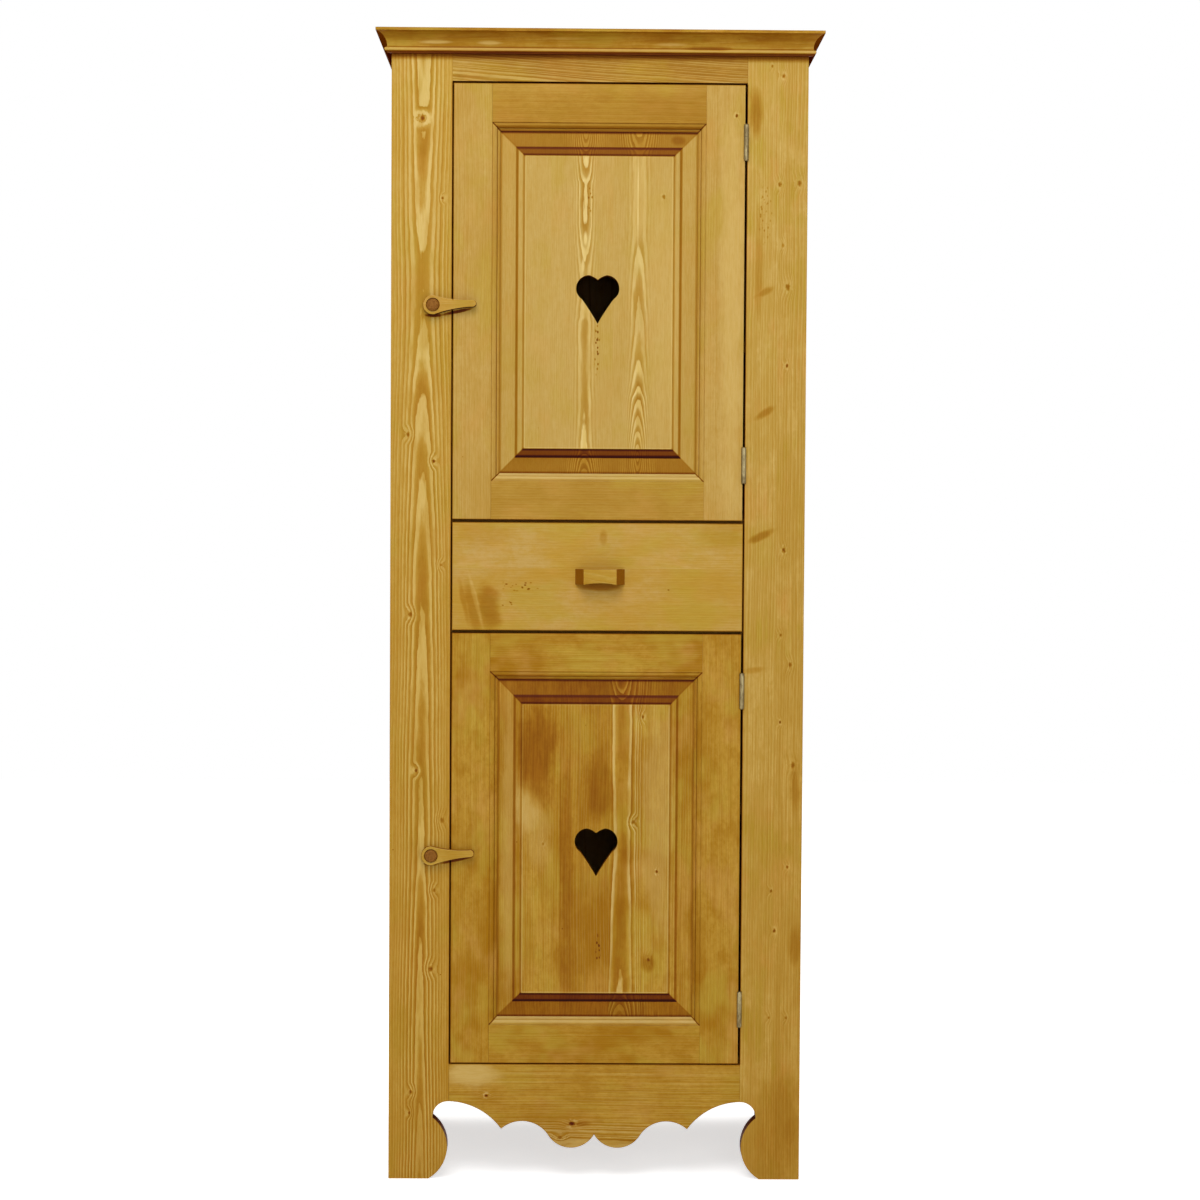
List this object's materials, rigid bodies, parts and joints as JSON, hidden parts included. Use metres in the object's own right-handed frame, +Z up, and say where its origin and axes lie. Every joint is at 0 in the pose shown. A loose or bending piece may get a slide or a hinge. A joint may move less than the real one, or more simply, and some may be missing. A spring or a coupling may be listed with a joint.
{
  "type": "tall cupboard",
  "caption": "Tall free-standing cupboard with an upper and a lower heart-pierced panelled door, a drawer between them, turn-button catches, a moulded cornice and a scalloped apron.",
  "frame": {"origin": "on the floor, below the centre of the cupboard's overall width and depth", "axes": "+Z up, +X to the right as seen from the front, +Y from the front to the back"},
  "size_m": [0.772, 0.476, 1.9975],
  "materials": {
    "stained_spruce": "honey stain under a thin wax, satin",
    "plain_spruce": "planed and left bare, matt",
    "dark_peg_wood": "turned and dark stained, satin",
    "hinge_steel": "dull bright steel"
  },
  "bodies": {
    "carcass": {"left_stile": "stained_spruce", "right_stile": "stained_spruce", "top_rail": "stained_spruce", "apron_rail": "stained_spruce", "left_side": "stained_spruce", "right_side": "stained_spruce", "bottom_board": "plain_spruce", "lower_divider": "plain_spruce", "upper_divider": "plain_spruce", "top_board": "stained_spruce", "door_stop_batten": "plain_spruce", "back_boards": "plain_spruce", "upper_shelf": "plain_spruce", "lower_shelf": "plain_spruce", "shelf_battens": "plain_spruce", "glue_blocks": "plain_spruce", "drawer_guides": "plain_spruce", "cornice_front": "stained_spruce", "cornice_left": "stained_spruce", "cornice_right": "stained_spruce", "upper_door_frame_leaves": "hinge_steel", "lower_door_frame_leaves": "hinge_steel", "upper_door_hinge_pins": "hinge_steel", "lower_door_hinge_pins": "hinge_steel", "frame_hinge_screws": "hinge_steel", "upper_latch_peg": "dark_peg_wood", "lower_latch_peg": "dark_peg_wood"},
    "upper_door": {"upper_door_latch_stile": "stained_spruce", "upper_door_hinge_stile": "stained_spruce", "upper_door_bottom_rail": "stained_spruce", "upper_door_top_rail": "stained_spruce", "upper_door_panel": "stained_spruce", "upper_door_hinge_leaves": "hinge_steel", "upper_door_hinge_screws": "hinge_steel"},
    "lower_door": {"lower_door_latch_stile": "stained_spruce", "lower_door_hinge_stile": "stained_spruce", "lower_door_bottom_rail": "stained_spruce", "lower_door_top_rail": "stained_spruce", "lower_door_panel": "stained_spruce", "lower_door_hinge_leaves": "hinge_steel", "lower_door_hinge_screws": "hinge_steel"},
    "drawer": {"drawer_front": "stained_spruce", "drawer_left_side": "plain_spruce", "drawer_right_side": "plain_spruce", "drawer_back": "plain_spruce", "drawer_bottom": "plain_spruce", "drawer_pull": "stained_spruce", "drawer_pull_screws": "hinge_steel"},
    "upper_latch": {"upper_latch": "stained_spruce"},
    "lower_latch": {"lower_latch": "stained_spruce"}
  },
  "joints": [
    {"name": "upper_door_hinge", "type": "hinge", "parent": "carcass", "child": "upper_door", "pos_m": [0.253, -0.2145, 1.1555], "axis": [0, 0, 1], "range_deg": [0, 170]},
    {"name": "lower_door_hinge", "type": "hinge", "parent": "carcass", "child": "lower_door", "pos_m": [0.253, -0.2145, 0.2045], "axis": [0, 0, 1], "range_deg": [0, 170]},
    {"name": "drawer_slide", "type": "slide", "parent": "carcass", "child": "drawer", "axis": [0, -1, 0], "range_m": [0, 0.33]},
    {"name": "upper_latch_turn", "type": "hinge", "parent": "carcass", "child": "upper_latch", "pos_m": [-0.287, -0.218, 1.525], "axis": [0, -1, 0], "continuous": true},
    {"name": "lower_latch_turn", "type": "hinge", "parent": "carcass", "child": "lower_latch", "pos_m": [-0.287, -0.218, 0.5695], "axis": [0, -1, 0], "continuous": true}
  ]
}
